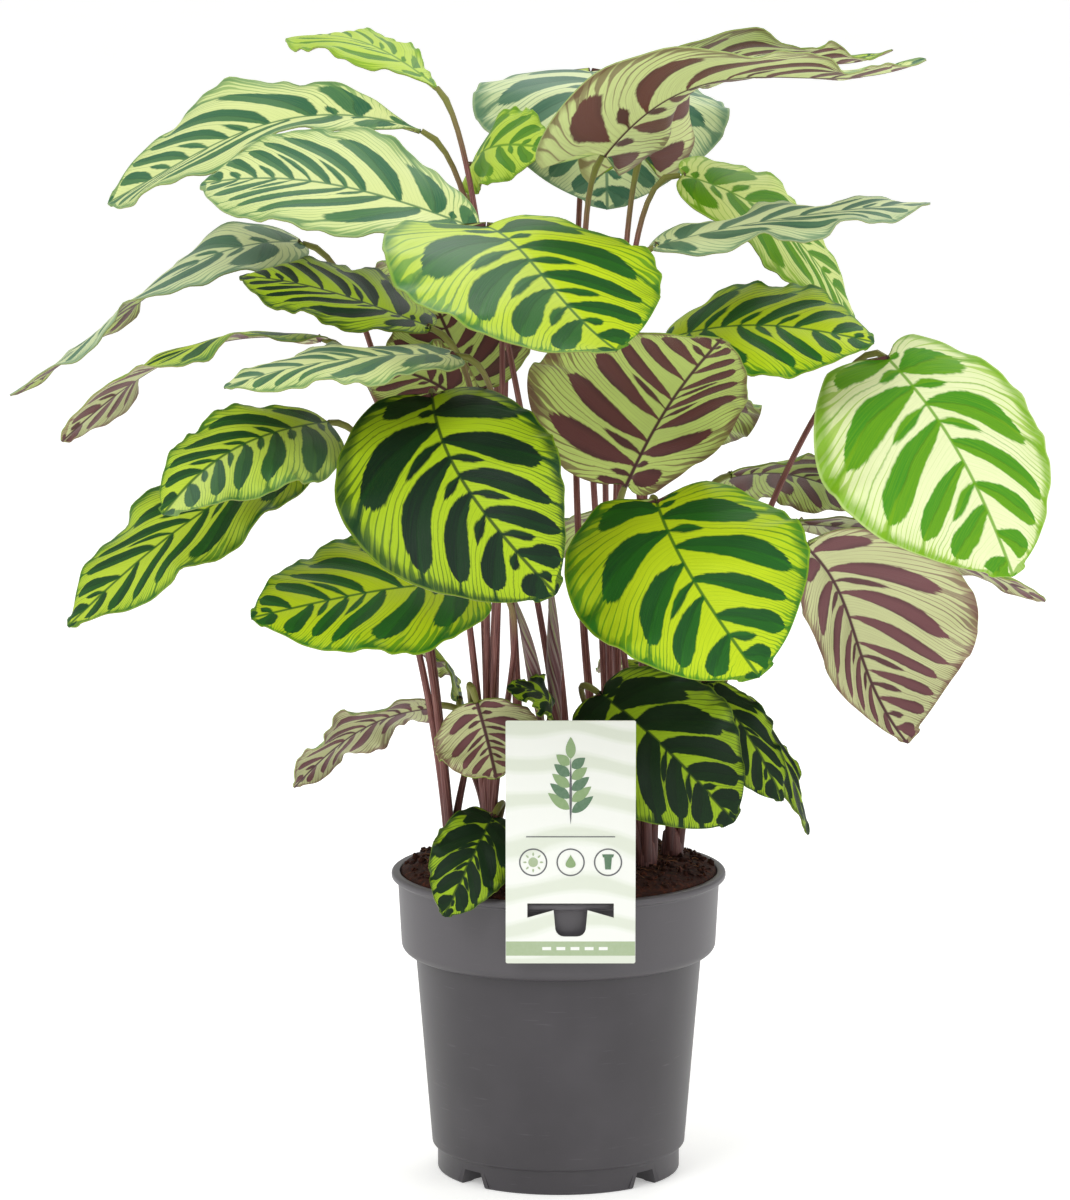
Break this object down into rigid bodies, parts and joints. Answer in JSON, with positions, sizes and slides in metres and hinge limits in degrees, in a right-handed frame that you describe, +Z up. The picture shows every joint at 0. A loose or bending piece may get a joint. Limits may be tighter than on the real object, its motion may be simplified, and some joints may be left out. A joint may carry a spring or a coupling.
{
  "type": "potted peacock plant",
  "caption": "Potted peacock plant: broad green leaves with dark feather-like blotches and maroon undersides on thin maroon stalks, in a round grey nursery pot with a plain care card.",
  "frame": {"origin": "centre of the flat underside of the pot, on the surface that it stands on", "axes": "+Z up; the front of the plant, with the care card, faces -Y; +X is to the right from the front"},
  "size_m": [0.5263, 0.4217, 0.5783],
  "materials": {
    "pot": "satin",
    "soil": "matte",
    "care_card": "satin",
    "stalk": "satin",
    "rolled_leaf": "satin",
    "leaf": "satin"
  },
  "bodies": {
    "root": {"pot": "pot", "soil": "soil", "care_card": "care_card", "shoot_a": "stalk", "shoot_b": "stalk", "shoot_c": "stalk", "shoot_d": "stalk", "shoot_e": "stalk", "shoot_f": "stalk", "shoot_g": "stalk", "shoot_h": "stalk", "shoot_i": "stalk", "rolled_leaf_1": "rolled_leaf", "rolled_leaf_2": "rolled_leaf", "leaf_01": "leaf", "leaf_02": "leaf", "leaf_03": "leaf", "leaf_04": "leaf", "leaf_05": "leaf", "leaf_06": "leaf", "leaf_07": "leaf", "leaf_08": "leaf", "leaf_09": "leaf", "leaf_10": "leaf", "leaf_11": "leaf", "leaf_12": "leaf", "leaf_13": "leaf", "leaf_14": "leaf", "leaf_15": "leaf", "leaf_16": "leaf", "leaf_17": "leaf", "leaf_18": "leaf", "leaf_19": "leaf", "leaf_20": "leaf", "leaf_21": "leaf", "leaf_22": "leaf", "leaf_23": "leaf", "leaf_24": "leaf", "leaf_25": "leaf", "leaf_26": "leaf", "leaf_27": "leaf", "leaf_28": "leaf", "leaf_29": "leaf", "leaf_30": "leaf", "leaf_31": "leaf", "leaf_32": "leaf", "leaf_33": "leaf", "leaf_34": "leaf", "leaf_35": "leaf", "leaf_36": "leaf", "leaf_37": "leaf", "leaf_38": "leaf", "leaf_39": "leaf", "leaf_40": "leaf"}
  },
  "joints": []
}
